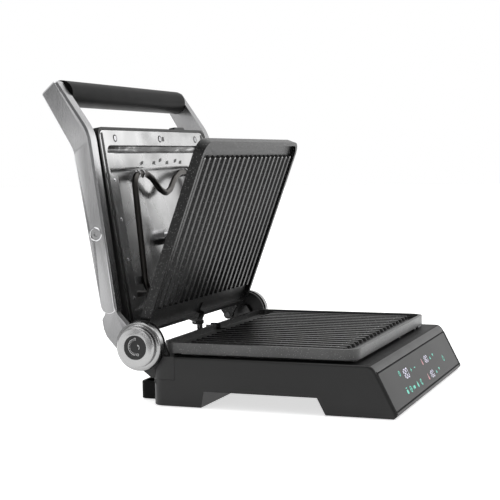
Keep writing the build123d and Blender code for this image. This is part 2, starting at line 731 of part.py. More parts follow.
sleeve_plane = Plane(origin=(conduit_x, hinge_y, 0), x_dir=(0, 1, 0), z_dir=(1, 0, 0))
with BuildPart() as conduit_sleeve:
    with BuildLine(sleeve_plane) as sleeve_path:
        FilletPolyline(
            (conduit_y, grommet_high), (conduit_y, 72.5), (20.6, 73.6), (21.3, 77.2), radius=3.1
        )
    with BuildSketch(Plane(origin=sleeve_path.line @ 0, z_dir=(0, 0, 1))):
        Circle(2.8)
    sweep()
save(conduit_sleeve.part, "conduit_sleeve")

with BuildPart() as cord_gland:
    with BuildSketch(Plane(origin=(-80, hinge_y + base_rear_y, 36), x_dir=(1, 0, 0), z_dir=(0, 1, 0))):
        RectangleRounded(24, 16, 5)
    extrude(amount=3)
    with BuildSketch(Plane(origin=(-80, hinge_y + base_rear_y + 3, 36), x_dir=(1, 0, 0), z_dir=(0, 1, 0))):
        Circle(6)
    extrude(amount=4)
    with BuildSketch(Plane(origin=(-80, hinge_y + base_rear_y + 7, 36), x_dir=(1, 0, 0), z_dir=(0, 1, 0))):
        Circle(3.6)
    extrude(amount=-6, mode=Mode.SUBTRACT)
save(cord_gland.part, "cord_gland")

# ---- drip tray: slides out to the rear, under the base's rear edge -------------------------------------------
tray_wall = 2.0
with BuildPart() as drip_tray:
    with BuildSketch(plan(clearance)) as tray:
        with Locations((0, (tray_front_y + tray_rear_y) / 2)):
            Rectangle(2 * tray_half, tray_rear_y - tray_front_y)
        fillet(tray.vertices().group_by(Axis.Y)[-1], 6)
    extrude(amount=tray_top_z - clearance)
    fillet(faces().sort_by(Axis.Z)[-1].edges().sort_by(Axis.Y)[-1], 1.5)
    with BuildSketch(plan(clearance + tray_wall)):
        with Locations((0, (tray_front_y + tray_rear_y) / 2)):
            RectangleRounded(2 * (tray_half - tray_wall), tray_rear_y - tray_front_y - 2 * tray_wall - 3, 4)
    extrude(amount=tray_top_z, mode=Mode.SUBTRACT)
save(drip_tray.part, "drip_tray")
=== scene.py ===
"""Looks of the panini press: materials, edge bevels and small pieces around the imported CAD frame."""
import json
from math import cos, pi, radians, sin, tau

import bmesh
import bpy
from mathutils import Matrix, Vector


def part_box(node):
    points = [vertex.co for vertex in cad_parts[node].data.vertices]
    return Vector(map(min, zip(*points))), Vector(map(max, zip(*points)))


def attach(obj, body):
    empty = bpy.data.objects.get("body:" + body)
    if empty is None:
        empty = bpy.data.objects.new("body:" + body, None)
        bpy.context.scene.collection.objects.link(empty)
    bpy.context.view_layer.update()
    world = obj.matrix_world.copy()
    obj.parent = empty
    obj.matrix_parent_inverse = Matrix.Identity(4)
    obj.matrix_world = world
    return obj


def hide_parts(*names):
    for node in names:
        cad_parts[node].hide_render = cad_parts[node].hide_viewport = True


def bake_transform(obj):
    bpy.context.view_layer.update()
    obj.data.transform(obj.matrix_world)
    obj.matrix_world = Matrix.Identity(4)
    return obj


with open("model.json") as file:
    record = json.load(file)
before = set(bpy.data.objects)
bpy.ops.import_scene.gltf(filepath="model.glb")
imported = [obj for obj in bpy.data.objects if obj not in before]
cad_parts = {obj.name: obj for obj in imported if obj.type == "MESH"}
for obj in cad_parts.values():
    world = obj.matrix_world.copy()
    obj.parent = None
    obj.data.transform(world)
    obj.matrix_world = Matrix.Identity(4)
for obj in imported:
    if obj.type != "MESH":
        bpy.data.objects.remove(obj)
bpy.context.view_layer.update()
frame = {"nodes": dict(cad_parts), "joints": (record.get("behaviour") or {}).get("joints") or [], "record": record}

MM = 0.001
joints = {joint["name"]: joint for joint in frame["joints"]}
node_slot = {part["node"]: part["material_slot"] for part in frame["record"]["subparts"]}
node_body = {node: body for body, nodes in frame["record"]["behaviour"]["bodies"].items() for node in nodes}

hinge = Vector(joints["lid_hinge"]["pos_m"])
head_up = -Vector(joints["upper_release_press"]["axis"])
head_back = Vector((0, head_up.z, -head_up.y))
side_x = Vector((1, 0, 0))

# head frame, in millimetres: s runs up the head from the hinge axis, d behind it
reflector_face = 16.6
element_d, element_top_s = 19.0, 184.0
tip_axis_s, tip_axis_d, tip_angle = 0.3, 14.1, radians(29.3)
seat_s, seat_d = 18.8, 4.4
hub_reach = 27


# ---- node materials --------------------------------------------------------------------------------
class Tree:
    """A small helper around one material's node tree."""

    def __init__(self, name):
        self.material = bpy.data.materials.new(name)
        self.material.use_nodes = True
        self.tree = self.material.node_tree
        self.shader = next(n for n in self.tree.nodes if n.type == "BSDF_PRINCIPLED")
        self.coords = self.add("ShaderNodeTexCoord").outputs["Object"]

    def add(self, kind, **settings):
        node = self.tree.nodes.new(kind)
        for key, value in settings.items():
            setattr(node, key, value)
        return node

    def link(self, source, target):
        self.tree.links.new(source, target)

    def set(self, **values):
        """Uniform shader values, such as roughness=0.4 or coat_weight=0.2."""
        for key, value in values.items():
            self.shader.inputs[key.replace("_", " ").title().replace("Ior", "IOR")].default_value = value
        return self

    def mapped(self, scale=(1, 1, 1), rotation=(0, 0, 0)):
        node = self.add("ShaderNodeMapping")
        node.inputs["Scale"].default_value = scale
        node.inputs["Rotation"].default_value = rotation
        self.link(self.coords, node.inputs["Vector"])
        return node.outputs["Vector"]

    def noise(self, scale, detail=3.0, vector=None, roughness=0.5, distortion=0.0):
        node = self.add("ShaderNodeTexNoise")
        node.inputs["Scale"].default_value = scale
        node.inputs["Detail"].default_value = detail
        node.inputs["Roughness"].default_value = roughness
        node.inputs["Distortion"].default_value = distortion
        self.link(vector or self.coords, node.inputs["Vector"])
        return node.outputs["Fac"]

    def ramp(self, value, *stops):
        """Colour ramp of (position, grey or colour) stops."""
        node = self.add("ShaderNodeValToRGB")
        elements = node.color_ramp.elements
        while len(elements) < len(stops):
            elements.new(0.5)
        for element, (position, colour) in zip(elements, stops):
            element.position = position
            element.color = (*colour, 1) if hasattr(colour, "__len__") else (colour, colour, colour, 1)
        self.link(value, node.inputs["Fac"])
        return node.outputs["Color"]

    def mix(self, factor, a, b):
        node = self.add("ShaderNodeMix", data_type="RGBA")
        for socket, value in ((node.inputs["Factor"], factor), (node.inputs[6], a), (node.inputs[7], b)):
            if isinstance(value, bpy.types.NodeSocket):
                self.link(value, socket)
            else:
                socket.default_value = (*value, 1) if hasattr(value, "__len__") else value
        return node.outputs[2]

    def span(self, value, low, high):
        node = self.add("ShaderNodeMapRange")
        node.inputs["To Min"].default_value = low
        node.inputs["To Max"].default_value = high
        self.link(value, node.inputs["Value"])
        return node.outputs["Result"]

    def colour(self, source):
        self.link(source, self.shader.inputs["Base Color"])
        return self

    def roughness(self, source):
        self.link(source, self.shader.inputs["Roughness"])
        return self

    def bump(self, height, distance, strength=1.0, bevel=0.0):
        """Bump of a given depth in metres, over edges softened by a bevel radius."""
        node = self.add("ShaderNodeBump")
        node.inputs["Strength"].default_value = strength
        node.inputs["Distance"].default_value = distance
        self.link(height, node.inputs["Height"])
        if bevel:
            soft = self.add("ShaderNodeBevel", samples=4)
            soft.inputs["Radius"].default_value = bevel
            self.link(soft.outputs["Normal"], node.inputs["Normal"])
        self.link(node.outputs["Normal"], self.shader.inputs["Normal"])
        return self


def moulded(name, dark, light, rough, grain=0.00006, grain_scale=1500, level=0.3):
    """Spark-eroded moulded plastic: fine pits, and a slow drift in shade and gloss."""
    tree = Tree(name).set(specular_ior_level=level)
    drift = tree.noise(9, 2)
    tree.colour(tree.ramp(drift, (0.3, dark), (0.7, light)))
    tree.roughness(tree.span(tree.noise(40, 3), rough - 0.05, rough + 0.06))
    return tree.bump(tree.noise(grain_scale, 2), grain, 0.6).material


def metal(name, colour, rough, streaks=None, rotation=(0, 0, 0), depth=0.00002, spread=0.08,
          painted_shade_patches=0.0, **extra):
    """Metal, with fine streaks along the direction that the stretch leaves alone.

    Painted shade and reflections darken it in broad soft patches, and painted shade darkens it towards the hinge.
    """
    tree = Tree(name).set(metallic=1.0, **extra)
    vector = tree.mapped(streaks, rotation) if streaks else tree.coords
    lines = tree.noise(60 if streaks else 35, 4, vector, 0.6)
    dull = tuple(c * 0.84 for c in colour)
    finish = tree.ramp(lines, (0.25, dull), (0.75, colour))
    # painted shade and reflections: broad dark patches, and a darker foot towards the hinge
    if painted_shade_patches:
        soft = tree.ramp(tree.noise(11, 2, tree.mapped((1, 1.6, 0.7), rotation)), (0.35, 0.0), (0.68, 1.0))
        finish = tree.mix(soft, finish, tuple(c * painted_shade_patches for c in colour))
        height = tree.add("ShaderNodeSeparateXYZ")
        tree.link(tree.coords, height.inputs[0])
        foot = tree.ramp(height.outputs["Z"], (0.07, 1.0), (0.16, 0.0))
        finish = tree.mix(foot, finish, tuple(c * 0.45 for c in colour))
    tree.colour(finish)
    tree.roughness(tree.span(lines, rough - spread / 2, rough + spread / 2))
    return tree.bump(lines, depth, 0.5).material


def speckled_coat(name, dark=0.004, light=0.008, level=0.28):
    """Non-stick coat over cast aluminium: near-black, with pale flecks and a pebbled skin."""
    tree = Tree(name).set(specular_ior_level=level)
    base = tree.ramp(tree.noise(14, 3), (0.35, dark), (0.7, light))
    cells = tree.add("ShaderNodeTexVoronoi")
    cells.inputs["Scale"].default_value = 620
    tree.link(tree.coords, cells.inputs["Vector"])
    flecks = tree.ramp(cells.outputs["Distance"], (0.0, 1.0), (0.30, 0.0))
    chosen = tree.ramp(tree.noise(420, 2), (0.42, 0.0), (0.54, 1.0))
    both = tree.add("ShaderNodeMath", operation="MULTIPLY")
    tree.link(flecks, both.inputs[0])
    tree.link(chosen, both.inputs[1])
    tree.colour(tree.mix(both.outputs[0], base, (0.30, 0.30, 0.295)))
    tree.roughness(tree.span(tree.noise(300, 3), 0.30, 0.44))
    return tree.bump(tree.noise(900, 3), 0.00010, 0.6).material


def turned(name, colour, rough, centre):
    """Turned metal face: fine rings about the X axis through a centre."""
    tree = Tree(name).set(metallic=1.0)
    shift = tree.add("ShaderNodeVectorMath", operation="SUBTRACT")
    shift.inputs[1].default_value = centre
    tree.link(tree.coords, shift.inputs[0])
    flat = tree.add("ShaderNodeVectorMath", operation="MULTIPLY")
    flat.inputs[1].default_value = (0, 1, 1)
    tree.link(shift.outputs[0], flat.inputs[0])
    radius = tree.add("ShaderNodeVectorMath", operation="LENGTH")
    tree.link(flat.outputs[0], radius.inputs[0])
    rings = tree.add("ShaderNodeTexNoise", noise_dimensions="1D")
    rings.inputs["Scale"].default_value = 2600
    tree.link(radius.outputs["Value"], rings.inputs["W"])
    tree.colour(tree.ramp(rings.outputs["Fac"], (0.3, tuple(c * 0.9 for c in colour)), (0.7, colour)))
    tree.roughness(tree.span(rings.outputs["Fac"], rough - 0.05, rough + 0.08))
    return tree.bump(rings.outputs["Fac"], 0.00002, 0.5).material


def mirror_sheet(name):
    """Bright rolled sheet steel: a mirror with faint rolling marks and a slow waviness."""
    tree = Tree(name).set(metallic=1.0)
    wave = tree.noise(9, 2, distortion=1.0)
    tree.colour(tree.ramp(tree.noise(30, 3), (0.2, 0.38), (0.8, 0.52)))
    patches = tree.ramp(tree.noise(7, 3, distortion=0.8), (0.40, 0.09), (0.62, 0.36))
    tree.roughness(patches)
    return tree.bump(wave, 0.004, 0.40).material


def painted_groove_shade(name):
    """Deep fold of the reflector: painted shade as dark metal, with blotches of painted reflected light."""
    tree = Tree(name).set(metallic=1.0)
    blotches = tree.noise(45, 3, tree.mapped((0.5, 1.6, 1.6)), distortion=0.8)
    tree.colour(tree.ramp(blotches, (0.38, 0.05), (0.58, 0.16), (0.68, 0.55)))
    tree.roughness(tree.span(blotches, 0.14, 0.30))
    return tree.bump(blotches, 0.0008, 0.6).material


def glow(name, colour, strength):
    """Lit display segment behind the glass."""
    tree = Tree(name).set(emission_strength=strength, roughness=0.4)
    tree.colour(tree.ramp(tree.noise(50), (0, tuple(c * 0.5 for c in colour)), (1, colour)))
    tree.shader.inputs["Emission Color"].default_value = (*colour, 1)
    return tree.material


def touch_glass(name):
    """Tinted touch panel: a glossy face with a faint smoky drift."""
    tree = Tree(name).set(coat_weight=0.06, coat_roughness=0.2, specular_ior_level=0.11)
    tree.colour(tree.ramp(tree.noise(7, 2), (0.3, 0.006), (0.7, 0.011)))
    tree.roughness(tree.span(tree.noise(16, 3), 0.26, 0.36))
    return tree.bump(tree.noise(900, 2), 0.00001, 0.3).material


def braid(name):
    """Braided glass-fibre sleeve."""
    tree = Tree(name).set(roughness=0.8)
    waves = tree.add("ShaderNodeTexWave", bands_direction="DIAGONAL")
    waves.inputs["Scale"].default_value = 420
    tree.link(tree.coords, waves.inputs["Vector"])
    tree.colour(tree.ramp(waves.outputs["Fac"], (0.2, 0.02), (0.8, 0.07)))
    return tree.bump(waves.outputs["Fac"], 0.0003, 0.6).material


def circuit(name):
    """Solder mask over tracks."""
    tree = Tree(name).set(roughness=0.35)
    bricks = tree.add("ShaderNodeTexBrick")
    bricks.inputs["Scale"].default_value = 90
    tree.link(tree.coords, bricks.inputs["Vector"])
    tree.colour(tree.mix(bricks.outputs["Fac"], (0.02, 0.12, 0.05), (0.05, 0.22, 0.09)))
    return tree.bump(bricks.outputs["Fac"], 0.0001, 0.4).material


lean_turn = (-head_up.angle(Vector((0, 0, 1))), 0, 0)
materials = {
    "base_plastic": moulded("base_plastic", 0.010, 0.014, 0.38),
    "under_plastic": moulded("under_plastic", 0.006, 0.010, 0.55),
    "foot_rubber": moulded("foot_rubber", 0.012, 0.018, 0.75, grain=0.0001, grain_scale=800),
    "screw_steel": metal("screw_steel", (0.62, 0.62, 0.64), 0.25),
    "panel_glass": touch_glass("panel_glass"),
    "circuit_board": circuit("circuit_board"),
    "reflector_steel": mirror_sheet("reflector_steel"),
    "element_tube": metal("element_tube", (0.10, 0.095, 0.09), 0.42, spread=0.2),
    "bracket_steel": metal("bracket_steel", (0.70, 0.70, 0.71), 0.22, (4, 40, 4)),
    "plate_coating": speckled_coat("plate_coating"),
    "axle_steel": metal("axle_steel", (0.62, 0.62, 0.64), 0.25, (60, 2, 2)),
    "axle_black": metal("axle_black", (0.06, 0.06, 0.06), 0.35),
    "ring_black": moulded("ring_black", 0.005, 0.008, 0.22, grain=0.00001),
    "knob_silver": turned("knob_silver", (0.36, 0.36, 0.36), 0.20, hinge),
    # the arm's broad dark patches and darker foot are painted shade and painted reflections
    "arm_brushed": metal(
        "arm_brushed", (0.48, 0.48, 0.485), 0.26, (110, 110, 0.8), lean_turn,
        spread=0.12, painted_shade_patches=0.62, anisotropic=0.5,
    ),
    "grip_black": moulded("grip_black", 0.002, 0.004, 0.45, level=0.08),
    "head_plastic": moulded("head_plastic", 0.004, 0.006, 0.40),
    "tray_plastic": moulded("tray_plastic", 0.003, 0.004, 0.42, level=0.07),
    "conduit_chrome": metal("conduit_chrome", (0.80, 0.80, 0.82), 0.08),
    "sleeve_braid": braid("sleeve_braid"),
}
# the deep fold's dark colour and light blotches are painted shade and painted reflections
painted_groove_shade_steel = painted_groove_shade("painted_groove_shade_steel")
polished = metal("polished_edge", (0.58, 0.58, 0.59), 0.14)
# bright crescents on the rib tips are painted highlights
painted_highlight_edge = metal("painted_highlight_edge", (0.42, 0.42, 0.42), 0.30)
hub_steel = turned("hub_steel", (0.33, 0.33, 0.33), 0.22, hinge)
# paler coat for the lower plate's rim: a painted sheen
painted_sheen_rim_coat = speckled_coat("painted_sheen_rim_coat", 0.045, 0.080, 0.5)
# painted shade: the darker plastic on the base's top faces, and a near-black for its underside that also fills the
# panel's gaps
painted_shade_deck_plastic = moulded("painted_shade_deck_plastic", 0.002, 0.003, 0.45, level=0.05)
joint_black_and_painted_shade = moulded("joint_black_and_painted_shade", 0.002, 0.003, 0.6, level=0.05)
# the dial's printed marks glow faintly: a painted glow
painted_glow_ink = glow("dial_ink_painted_glow", (0.75, 0.75, 0.75), 0.15)
lit_white = glow("lit_white", (0.62, 0.60, 0.74), 0.7)
lit_green = glow("lit_green", (0.08, 0.52, 0.40), 0.5)
lit_red = glow("lit_red", (0.62, 0.28, 0.30), 0.5)


# ---- meshes ------------------------------------------------------------------------------------------
def piece_from(name, bm, body, slot, material=None, smooth=35.0):
    """Turn a bmesh into a piece that rides on a body and takes a slot's finish."""
    bmesh.ops.remove_doubles(bm, verts=bm.verts, dist=1e-7)
    bmesh.ops.recalc_face_normals(bm, faces=bm.faces)
    mesh = bpy.data.meshes.new(name)
    bm.to_mesh(mesh)
    bm.free()
    piece = bpy.data.objects.new(name, mesh)
    bpy.context.scene.collection.objects.link(piece)
    mesh.materials.append(material or materials[slot])
    for polygon in mesh.polygons:
        polygon.use_smooth = True
    mesh.set_sharp_from_angle(angle=radians(smooth))
    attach(piece, body)
    return piece


def bevelled(piece, width, segments=2, angle=30.0):
    """Round the sharp edges of a piece and keep its flats flat."""
    modifier = piece.modifiers.new("edges", "BEVEL")
    modifier.width = width
    modifier.segments = segments
    modifier.limit_method = "ANGLE"
    modifier.angle_limit = radians(angle)
    modifier.use_clamp_overlap = True
    modifier.harden_normals = True
    graph = bpy.context.evaluated_depsgraph_get()
    mesh = bpy.data.meshes.new_from_object(piece.evaluated_get(graph))
    piece.modifiers.clear()
    piece.data = mesh
    return piece


def refined(node, width, segments=2, angle=30.0):
    """A finer copy of a CAD node with rounded edges, which stands for it."""
    bm = bmesh.new()
    bm.from_mesh(frame["nodes"][node].data)
    bmesh.ops.remove_doubles(bm, verts=bm.verts, dist=1e-5)
    bmesh.ops.dissolve_limit(
        bm, angle_limit=radians(0.7), verts=bm.verts, edges=bm.edges, use_dissolve_boundaries=False
    )
    piece = piece_from(node + "_fine", bm, node_body[node], node_slot[node])
    bevelled(piece, width, segments, angle)
    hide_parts(node)
    return piece


def plane_matrix(origin, right, up):
    """Matrix of a plane whose local X and Y are right and up, and whose Z is its outward normal."""
    normal = right.cross(up).normalized()
    matrix = Matrix((right.normalized(), up.normalized(), normal)).transposed().to_4x4()
    matrix.translation = origin
    return matrix


def slab(bm, outline, depth, matrix):
    """A prism over an outline on a plane, rising by depth along its normal."""
    low = [bm.verts.new(matrix @ Vector((x, y, 0))) for x, y in outline]
    high = [bm.verts.new(matrix @ Vector((x, y, depth))) for x, y in outline]
    bm.faces.new(low[::-1])
    bm.faces.new(high)
    for i in range(len(outline)):
        j = (i + 1) % len(outline)
        bm.faces.new((low[i], low[j], high[j], high[i]))


def arc(centre, radius, start, end, steps):
    return [
        (centre[0] + radius * cos(start + (end - start) * i / steps),
         centre[1] + radius * sin(start + (end - start) * i / steps))
        for i in range(steps + 1)
    ]


def rounded(centre, width, height, radius, steps=5):
    """Outline of a rectangle with round corners."""
    x, y = centre
    outline = []
    for index, (sx, sy) in enumerate(((1, 1), (-1, 1), (-1, -1), (1, -1))):
        middle = (x + sx * (width / 2 - radius), y + sy * (height / 2 - radius))
        outline += arc(middle, radius, index * pi / 2, (index + 1) * pi / 2, steps)
    return outline


def lathe(bm, profile, matrix, steps=40):
    """A turned shape: profile points are (radius, height along the plane's normal)."""
    rings = []
    for radius, height in profile:
        if radius < 1e-9:
            rings.append([bm.verts.new(matrix @ Vector((0, 0, height)))])
            continue
        angles = (tau * k / steps for k in range(steps))
        rings.append([bm.verts.new(matrix @ Vector((radius * cos(a), radius * sin(a), height))) for a in angles])
    for a, b in zip(rings, rings[1:]):
        for k in range(steps):
            n = (k + 1) % steps
            if len(a) == 1 and len(b) > 1:
                bm.faces.new((a[0], b[k], b[n]))
            elif len(b) == 1 and len(a) > 1:
                bm.faces.new((a[k], a[n], b[0]))
            elif len(a) > 1:
                bm.faces.new((a[k], a[n], b[n], b[k]))


def head_plane(depth):
    """Plane of the leaning head at a depth behind the hinge axis: local Y runs up the head."""
    return plane_matrix(hinge + head_back * depth, side_x, head_up)


# ---- CAD nodes: materials, and finer copies of what is seen close ------------------------------------
for node, holder in frame["nodes"].items():
    holder.data.materials.clear()
    holder.data.materials.append(materials[node_slot[node]])
    for polygon in holder.data.polygons:
        polygon.use_smooth = True
    holder.data.set_sharp_from_angle(angle=radians(30))

edge_widths = {
    "arm_left": 0.8, "arm_right": 0.8, "base_housing": 0.8, "drip_tray": 0.8, "hinge_bracket_left": 0.7,
    "hinge_bracket_right": 0.7, "knob_ring": 0.35, "hub_cap": 0.35, "conduit_boss": 1.0,
    "upper_release_button": 0.8, "bottom_pan": 0.4, "cord_gland": 0.5, "upper_housing": 0.8,
    "lower_release_button": 0.5, "lower_grill_plate": 0.7, "upper_grill_plate": 0.7, "pivot_screws": 0.3,
}
fine = {node: refined(node, width * MM) for node, width in edge_widths.items()}


def polish_arm(piece):
    """Polished chamfers and a turned hub on a brushed arm."""
    piece.data.materials.append(polished)
    piece.data.materials.append(hub_steel)
    for polygon in piece.data.polygons:
        if (polygon.center - hinge).yz.length < hub_reach * MM:
            polygon.material_index = 2
        elif 0.3 < abs(polygon.normal.x) < 0.93:
            polygon.material_index = 1


for node in ("arm_left", "arm_right"):
    polish_arm(fine[node])

# painted shade: the base's underside is painted nearly black and its deck darker than its walls
housing = fine["base_housing"].data
housing.materials.append(joint_black_and_painted_shade)
housing.materials.append(painted_shade_deck_plastic)
for polygon in housing.polygons:
    if polygon.normal.z < -0.4:
        polygon.material_index = 1
    elif polygon.normal.z > 0.9:
        polygon.material_index = 2

# painted sheen: the lower plate's outer rim takes a paler coat
rim_reach, rim_steepness = 6, 0.75
plate_low, plate_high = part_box("lower_grill_plate")
plate = fine["lower_grill_plate"].data
plate.materials.append(painted_sheen_rim_coat)
for polygon in plate.polygons:
    middle = polygon.center
    edge = min(
        middle.x - plate_low[0], plate_high[0] - middle.x,
        middle.y - plate_low[1], plate_high[1] - middle.y,
    )
    if edge < rim_reach * MM and abs(polygon.normal.z) < rim_steepness:
        polygon.material_index = 1


# ---- small pieces --------------------------------------------------------------------------------------
def widest_normal(node, direction):
    """Normal of a node's widest flat facing a direction."""
    facing = [f for f in frame["nodes"][node].data.polygons if f.normal.dot(Vector(direction)) > 0.8]
    return max(facing, key=lambda f: f.area).normal.copy()


def bar(bm, matrix, start, end, width, depth=0.06):
    """A thin straight stroke between two points of a plane, in millimetres."""
    (x0, y0), (x1, y1) = start, end
    length = ((x1 - x0) ** 2 + (y1 - y0) ** 2) ** 0.5
    nx, ny = -(y1 - y0) / length * width / 2, (x1 - x0) / length * width / 2
    outline = [(x0 - nx, y0 - ny), (x1 - nx, y1 - ny), (x1 + nx, y1 + ny), (x0 + nx, y0 + ny)]
    shape(bm, matrix, outline, depth)


def shape(bm, matrix, outline, depth=0.06):
    slab(bm, [(x * MM, y * MM) for x, y in outline], depth * MM, matrix)


def ring(bm, matrix, centre, radius, width, start=0.0, end=tau, steps=20, depth=0.06):
    """A thin ring, or part of one, as short strokes."""
    points = arc(centre, radius, start, end, steps)
    for a, b in zip(points, points[1:]):
        bar(bm, matrix, a, b, width, depth)


segments = {
    "0": "abcdef", "1": "bc", "2": "abged", "3": "abgcd", "5": "afgcd", "8": "abcdefg",
}


def digit(bm, matrix, character, x, y, width, height, stroke):
    """One seven-segment digit whose lower left corner is at x, y."""
    middle, top, right = y + height / 2, y + height, x + width
    gap = stroke * 0.7
    strokes = {
        "a": ((x + gap, top), (right - gap, top)), "g": ((x + gap, middle), (right - gap, middle)),
        "d": ((x + gap, y), (right - gap, y)), "f": ((x, middle + gap), (x, top - gap)),
        "b": ((right, middle + gap), (right, top - gap)), "e": ((x, y + gap), (x, middle - gap)),
        "c": ((right, y + gap), (right, middle - gap)),
    }
    for name in segments[character]:
        bar(bm, matrix, *strokes[name], stroke)


def number(bm, matrix, text, x, y, width, height, stroke, pitch):
    for index, character in enumerate(text):
        digit(bm, matrix, character, x + index * pitch, y, width, height, stroke)


panel_middle, panel_thick = 24.45, 2.3
panel_low, panel_high = (Vector(corner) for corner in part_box("control_panel"))
panel_normal = widest_normal("control_panel", (0, -0.9, 0.45))
panel_up = panel_normal.cross(side_x).normalized()
panel_plane = plane_matrix(
    (panel_low + panel_high) / 2 + panel_normal * panel_thick / 2 * MM, side_x, panel_up
)


def build_display():
    """Lit digits and touch symbols behind the panel's glass."""
    white, green, red = bmesh.new(), bmesh.new(), bmesh.new()
    t0 = -panel_middle
    number(white, panel_plane, "180", -77, 25 + t0, 5.6, 9.6, 1.0, 8.0)
    number(white, panel_plane, "180", 17.6, 27 + t0, 4.4, 7.0, 0.9, 6.6)
    number(white, panel_plane, "180", 15, 9.3 + t0, 4.4, 7.0, 0.9, 6.8)
    for x, t in ((-42, 30), (-26, 30)):
        bar(green, panel_plane, (x - 2.2, t + t0), (x + 2.2, t + t0), 0.9)
    bar(green, panel_plane, (-42, 27.8 + t0), (-42, 32.2 + t0), 0.9)
    for x, t, up in ((46, 29, 1), (61, 30, -1), (46, 12.2, 1), (61, 12.9, -1)):
        foot, point = t + t0 - 1.6 * up, t + t0 + 1.9 * up
        shape(green, panel_plane, [(x - 2.4, foot), (x + 2.4, foot), (x, point)])
    # a clock face, then power
    ring(green, panel_plane, (-86, 33.6 + t0), 2.6, 0.8)
    bar(green, panel_plane, (-86, 33.6 + t0), (-86, 35.4 + t0), 0.7)
    bar(green, panel_plane, (-86, 33.6 + t0), (-84.7, 33.6 + t0), 0.7)
    ring(green, panel_plane, (97, 20 + t0), 3.0, 0.8, radians(125), radians(415))
    bar(green, panel_plane, (97, 20.4 + t0), (97, 24 + t0), 0.8)
    # thermometers
    for x, t in ((9.6, 30.5), (7.4, 12.9)):
        ring(red, panel_plane, (x, t - 1.8 + t0), 1.4, 1.1)
        bar(red, panel_plane, (x, t - 0.6 + t0), (x, t + 3.4 + t0), 1.2)
    # five programme marks: a loaf, a patty, a fish, a drop and a leaf
    row = 13.0 + t0
    shape(green, panel_plane, rounded((-86.6, row), 6.0, 4.6, 2.0))
    bar(green, panel_plane, (-89, row + 4.2), (-84.2, row + 4.2), 0.9)
    ring(green, panel_plane, (-72.3, row + 0.4), 3.0, 1.0)
    bar(green, panel_plane, (-74.6, row + 0.4), (-70.0, row + 0.4), 0.9)
    shape(green, panel_plane, rounded((-57.2, row), 5.0, 3.6, 1.7))
    shape(green, panel_plane, [(-60.0, row), (-62.4, row - 2.4), (-62.4, row + 2.4)])
    drop = arc((-42.2, row - 0.6), 2.4, radians(160), radians(380), 10) + [(-42.2, row + 4.0)]
    shape(green, panel_plane, drop)
    ring(green, panel_plane, (-26.2, row), 3.0, 1.0, radians(60), radians(330))
    bar(green, panel_plane, (-27.6, row - 2.6), (-24.6, row + 2.8), 0.9)
    for name, bm, look in (("digits", white, lit_white), ("touch_marks", green, lit_green),
                           ("heat_marks", red, lit_red)):
        piece_from(name, bm, "base", "panel_glass", look)


def build_panel_edges():
    """Dark gaps round the panel and the black strip down the slope's left and right edges."""
    bm = bmesh.new()
    t0 = -panel_middle
    half = panel_high.x / MM
    lift = panel_plane @ Matrix.Translation((0, 0, 0.1 * MM))
    for t in (2.9, 46.0):
        bar(bm, lift, (-half - 0.5, t + t0), (half + 0.5, t + t0), 1.2, 0.04)
    for sign in (-1, 1):
        inner, outer = sign * (half - 0.6), sign * (half + 4.8)
        strip = [(inner, 0.8 + t0), (outer, 0.8 + t0), (outer, 44.0 + t0), (sign * (half + 3.0), 47.6 + t0),
                 (inner, 47.6 + t0)]
        shape(bm, lift, strip, 0.04)
    piece_from("panel_gaps", bm, "base", "under_plastic", joint_black_and_painted_shade)


def build_dial():
    """Scale and marks printed on the lock knob's disc, with a faint painted glow."""
    face_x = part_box("knob_disc")[0][0]
    plane = plane_matrix(Vector((face_x, hinge.y, hinge.z)), Vector((0, -1, 0)), Vector((0, 0, 1)))
    bm = bmesh.new()
    centre = (0.9, 0.75)
    for x, y in ((0, 9.0), (2.8, -7.4)):
        corners = [(x - 1, y - 1), (x + 1, y - 1), (x + 1, y + 1), (x - 1, y + 1)]
        for a, b in zip(corners, corners[1:] + corners[:1]):
            bar(bm, plane, a, b, 0.32)
    ring(bm, plane, centre, 8.7, 0.38, radians(112), radians(266), 24)
    for step in range(12):
        angle = radians(114 + step * 13.6)
        inner, outer = arc(centre, 6.6, angle, angle, 1)[0], arc(centre, 8.0, angle, angle, 1)[0]
        bar(bm, plane, inner, outer, 0.28)
    ring(bm, plane, (1.6, 0.2), 3.2, 0.5, radians(-40), radians(50), 8)
    shape(bm, plane, [(2.8, 3.2), (4.6, 2.2), (3.0, 1.4)])
    piece_from("dial_marks", bm, "lock_knob", "ring_black", painted_glow_ink)


